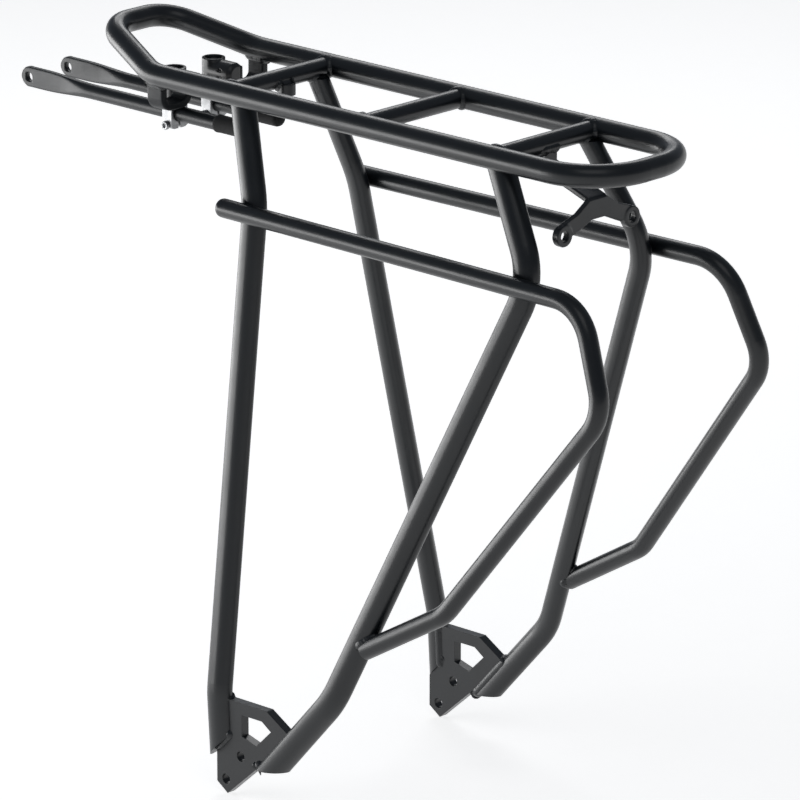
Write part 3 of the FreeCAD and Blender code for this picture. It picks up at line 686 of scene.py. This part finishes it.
class RACK_OT_forgings(bpy.types.Operator):
    """Rounds the edges of the bent, forged and moulded parts as pressing leaves them"""

    bl_idname = "rack.forgings"
    bl_label = "Round the Forgings"

    def execute(self, context):
        rows = [("light_bracket", "rack", "black_powder_coat", "frame_paint", 0.00040, 6)]
        for side in SIDES:
            rows += [
                (side + "_stay_hanger", "rack", "black_hanger_coat", "frame_paint", 0.00045, 14),
                (side + "_knuckle", "rack", "black_knuckle_coat", "knuckle_black", 0.00032, 4),
                (side + "_eye_bolt", side + "_clamp", "bright_stainless", "stainless", 0.00028, 4),
            ]
        for name, body, finish, slot, grain, rounds in rows:
            mesh = softened(name + "_rounded", name, grain, rounds)
            piece = add_piece(name + "_rounded", mesh, body, material_named(finish))
            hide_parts(name)
        return {"FINISHED"}


class RACK_OT_stays(bpy.types.Operator):
    """Makes the rods, drawn out smoothly to their flat eyes"""

    bl_idname = "rack.stays"
    bl_label = "Draw Out the Stays"

    def execute(self, context):
        material = material_named("black_stay_coat")
        for side in SIDES:
            name = side + "_stay"
            low, high, middle = node_box(name)
            eye = (high.z - low.z) / 2
            rod = (high.y - low.y) / 2
            hole = Vector((low.x + eye, middle.y, middle.z))
            mesh = drawn_rod(name, hole, eye, rod, high.x)
            mesh = drilled(name + "_drawn", mesh, hole, BLADE_HOLE_RADIUS, rod * 2)
            piece = add_piece(name + "_drawn", mesh, side + "_stay_body", material)
            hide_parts(name)
        return {"FINISHED"}


class RACK_OT_knuckle_bolts(bpy.types.Operator):
    """Makes the button-head bolts with their hexagon sockets"""

    bl_idname = "rack.knuckle_bolts"
    bl_label = "Make the Knuckle Bolts"

    def execute(self, context):
        material = material_named("black_bolt_oxide")
        for side in SIDES:
            name = side + "_knuckle_bolt"
            low, high, middle = node_box(name)
            out = Vector((0, 1 if side == "right" else -1, 0))
            reach = (high.y - low.y) / 2
            top = middle + out * reach
            head = (high.x - low.x) / 2
            rise = BOLT_HEAD_HEIGHT
            profile = [
                (-2 * reach, 0.0010, "round"),
                (-2 * reach, 0.0020, "round"),
                (-2 * reach + 0.0005, 0.0025, "round"),
                (-rise, 0.0025, "round"),
                (-rise, head * 0.98, "round"),
                (-rise + 0.0003, head, "round"),
            ]
            for number in range(1, 9):
                angle = math.radians(number * 7.4)
                along = -rise + 0.0004 + 0.0020 * math.sin(angle) / 0.861
                profile.append((along, head * math.cos(angle), "round"))
            profile += [
                (0.0, 0.0018, "round"),
                (-0.0002, 0.00152, "hexagon"),
                (-0.0014, 0.00150, "hexagon"),
                (-0.0017, 0.0004, "round"),
            ]
            turned = name + "_turned"
            piece = add_turned(turned, top, out, profile, "rack", material)
            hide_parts(name)
        return {"FINISHED"}


class RACK_OT_pinch_fasteners(bpy.types.Operator):
    """Makes the pinch screws and their nuts"""

    bl_idname = "rack.pinch_fasteners"
    bl_label = "Make the Pinch Screws"

    def execute(self, context):
        material = material_named("bright_stainless")
        for side in SIDES:
            out = Vector((0, 1 if side == "right" else -1, 0))
            name = side + "_pinch_screw"
            low, high, middle = node_box(name)
            reach = (high.y - low.y) / 2
            head = (high.x - low.x) / 2
            top = middle + out * reach
            profile = [
                (-2 * reach, 0.0007, "round"),
                (-2 * reach + 0.0003, 0.0012, "round"),
                (-0.0020, 0.0012, "round"),
                (-0.0020, head * 0.94, "round"),
                (-0.0018, head, "knurl"),
                (-0.0004, head, "knurl"),
                (-0.0001, head * 0.93, "round"),
                (0.0, head * 0.84, "round"),
                (0.0, 0.0012, "round"),
                (-0.0002, 0.00102, "hexagon"),
                (-0.0012, 0.0010, "hexagon"),
                (-0.0014, 0.0003, "round"),
            ]
            body = side + "_clamp"
            turned = name + "_turned"
            piece = add_turned(turned, top, out, profile, body, material)
            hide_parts(name)
            name = side + "_pinch_nut"
            low, high, middle = node_box(name)
            thick = high.y - low.y
            flats = (high.x - low.x) / 2
            corner = flats * 1.09
            base = middle - out * thick / 2
            profile = [
                (0.0, 0.00126, "round"),
                (0.0, flats * 0.95, "round"),
                (0.0003, (flats, corner), "cut hexagon"),
                (0.0005, (flats, corner * 1.05), "cut hexagon"),
                (thick - 0.0005, (flats, corner * 1.05), "cut hexagon"),
                (thick - 0.0003, (flats, corner), "cut hexagon"),
                (thick, flats * 0.95, "round"),
                (thick, 0.00126, "round"),
            ]
            mesh = loft(name + "_milled", turned_rings(base, out, profile), closed=True)
            piece = add_piece(name + "_milled", mesh, body, material)
            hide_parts(name)
        return {"FINISHED"}


class RACK_OT_end_caps(bpy.types.Operator):
    """Makes the domed rubber caps on the stays"""

    bl_idname = "rack.end_caps"
    bl_label = "Make the End Caps"

    def execute(self, context):
        material = material_named("cap_rubber")
        for side in SIDES:
            name = side + "_end_cap"
            low, high, middle = node_box(name)
            radius = (high.z - low.z) / 2
            mouth = Vector((low.x, middle.y, middle.z))
            length = high.x - low.x
            dome = 0.0035
            waist = radius * 0.965
            profile = [
                (length - 0.0016, 0.0005, "round"),
                (length - 0.0016, CAP_BORE_RADIUS, "round"),
                (0.0, CAP_BORE_RADIUS, "round"),
                (0.0, radius * 0.95, "round"),
                (0.0003, radius, "round"),
                (0.0014, radius, "round"),
                (0.0018, waist, "round"),
                (length - dome, waist, "round"),
            ]
            for number in range(1, 10):
                angle = math.radians(number * 9.6)
                along = length - dome + dome * math.sin(angle)
                profile.append((along, waist * math.cos(angle), "round"))
            body = side + "_stay_body"
            along_stay = Vector((1, 0, 0))
            moulded = name + "_moulded"
            piece = add_turned(moulded, mouth, along_stay, profile, body, material)
            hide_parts(name)
        return {"FINISHED"}


class RACK_OT_stage(bpy.types.Operator):
    """Sets the floor, the world, the lamps and the camera"""

    bl_idname = "rack.stage"
    bl_label = "Set the Stage"

    def execute(self, context):
        settings = context.scene.rack_studio
        scene = context.scene
        self.make_floor(scene)
        self.make_world(scene)
        low_middle = Vector((0.05, 0.0, 0.17))
        lamps = (
            ("strip_lamp", (-0.80, -0.50, 0.16), low_middle, (1.4, 0.38), settings.strip_power),
            ("back_lamp", (-1.00, 1.09, 1.18), RACK_MIDDLE, (0.9, 0.45), settings.back_power),
            ("fill_lamp", (1.2, -1.2, 2.6), RACK_MIDDLE, (1.6, 1.6), settings.fill_power),
        )
        for lamp in lamps:
            self.make_lamp(scene, *lamp)
        camera = bpy.data.cameras.new("camera")
        camera.sensor_width = 36.0
        camera.lens = settings.lens
        camera.clip_end = 50.0
        holder = bpy.data.objects.new("camera", camera)
        self.aim(scene, holder, CAMERA_PLACE, RACK_MIDDLE)
        scene.camera = holder
        scene.view_settings.view_transform = "Standard"
        return {"FINISHED"}

    def make_floor(self, scene):
        """Makes a wide pale floor just below the plates' tips."""
        height = CAD_BOX[0][2] - FLOOR_GAP
        mesh = bpy.data.meshes.new("floor")
        turns = ((-1, -1), (1, -1), (1, 1), (-1, 1))
        corners = [(FLOOR_REACH * x, FLOOR_REACH * y, height) for x, y in turns]
        mesh.from_pydata(corners, [], [(0, 1, 2, 3)])
        floor = bpy.data.objects.new("floor", mesh)
        scene.collection.objects.link(floor)
        material, tree, shader = new_material("pale_floor")
        grain = add_noise(tree, 0.02, 3.0)
        pale = blend_colours(tree, grain, (0.86, 0.86, 0.86), (0.9, 0.9, 0.9))
        tree.links.new(pale, shader.inputs["Base Color"])
        shader.inputs["Roughness"].default_value = 0.9
        shader.inputs["Specular IOR Level"].default_value = 0.1
        lift = remap(tree, self.seen_rays(tree), 0.0, FLOOR_LIFT, 0.0, 1.0)
        shader.inputs["Emission Color"].default_value = (1.0, 1.0, 1.0, 1.0)
        tree.links.new(lift, shader.inputs["Emission Strength"])
        mesh.materials.append(material)

    def make_world(self, scene):
        """Makes a world that is white where it is seen and softer where it lights."""
        world = bpy.data.worlds.new("studio")
        scene.world = world
        world.use_nodes = True
        tree = world.node_tree
        tree.nodes.clear()
        output = tree.nodes.new("ShaderNodeOutputWorld")
        background = tree.nodes.new("ShaderNodeBackground")
        tree.links.new(background.outputs[0], output.inputs[0])
        place = tree.nodes.new("ShaderNodeTexCoord")
        split = tree.nodes.new("ShaderNodeSeparateXYZ")
        tree.links.new(place.outputs["Generated"], split.inputs[0])
        height = remap(tree, split.outputs["Z"], 0.0, 1.0, *SKY_HEIGHTS)
        shade = blend_colours(tree, height, (1.0, 1.0, 1.0), (0.17, 0.19, 0.22))
        tree.links.new(shade, background.inputs["Color"])
        strength = remap(tree, self.seen_rays(tree), SKY_LIGHT, 1.0, 0.0, 1.0)
        tree.links.new(strength, background.inputs["Strength"])

    def seen_rays(self, tree):
        """Gives 1 for rays from the camera and from gloss and glass, and 0 for light."""
        path = tree.nodes.new("ShaderNodeLightPath")
        seen = path.outputs["Is Camera Ray"]
        for kind in ("Is Glossy Ray", "Is Transmission Ray"):
            seen = larger(tree, seen, path.outputs[kind])
        return seen

    def make_lamp(self, scene, name, place, target, size, power):
        """Makes a soft rectangular lamp that faces a point."""
        lamp = bpy.data.lights.new(name, "AREA")
        lamp.shape = "RECTANGLE"
        lamp.size = size[0]
        lamp.size_y = size[1]
        lamp.energy = power
        holder = bpy.data.objects.new(name, lamp)
        self.aim(scene, holder, place, target)

    def aim(self, scene, holder, place, target):
        """Puts a camera or a lamp in its place, facing a point."""
        holder.location = place
        holder.rotation_euler = (target - holder.location).to_track_quat("-Z", "Y").to_euler()
        scene.collection.objects.link(holder)


class RACK_PT_panel(bpy.types.Panel):
    """Lists the rack's steps and settings"""

    bl_label = "Rear Rack"
    bl_idname = "RACK_PT_panel"
    bl_space_type = "VIEW_3D"
    bl_region_type = "UI"
    bl_category = "Rack"

    def draw(self, context):
        layout = self.layout
        for settings, steps in PANEL_ROWS:
            box = layout.box()
            group = getattr(context.scene, settings)
            for name in group.bl_rna.properties.keys():
                if name not in ("rna_type", "name"):
                    box.prop(group, name)
            for step in steps:
                box.operator(step)


PANEL_ROWS = (
    ("rack_coat", ("rack.coat",)),
    ("rack_weld", ("rack.welds", "rack.forgings", "rack.stays", "rack.knuckle_bolts",
                   "rack.pinch_fasteners", "rack.end_caps")),
    ("rack_studio", ("rack.stage",)),
)

CLASSES = (
    RackCoatSettings,
    RackWeldSettings,
    RackStudioSettings,
    RACK_OT_coat,
    RACK_OT_welds,
    RACK_OT_forgings,
    RACK_OT_stays,
    RACK_OT_knuckle_bolts,
    RACK_OT_pinch_fasteners,
    RACK_OT_end_caps,
    RACK_OT_stage,
    RACK_PT_panel,
)


def register():
    """Registers the classes and their settings."""
    for item in CLASSES:
        bpy.utils.register_class(item)
    bpy.types.Scene.rack_coat = PointerProperty(type=RackCoatSettings)
    bpy.types.Scene.rack_weld = PointerProperty(type=RackWeldSettings)
    bpy.types.Scene.rack_studio = PointerProperty(type=RackStudioSettings)


def unregister():
    """Takes the settings and classes away again."""
    del bpy.types.Scene.rack_studio
    del bpy.types.Scene.rack_weld
    del bpy.types.Scene.rack_coat
    for item in reversed(CLASSES):
        bpy.utils.unregister_class(item)


def main():
    """Runs every step in order."""
    register()
    bpy.ops.rack.coat()
    bpy.ops.rack.welds()
    bpy.ops.rack.forgings()
    bpy.ops.rack.stays()
    bpy.ops.rack.knuckle_bolts()
    bpy.ops.rack.pinch_fasteners()
    bpy.ops.rack.end_caps()
    bpy.ops.rack.stage()


if __name__ == "__main__":
    main()
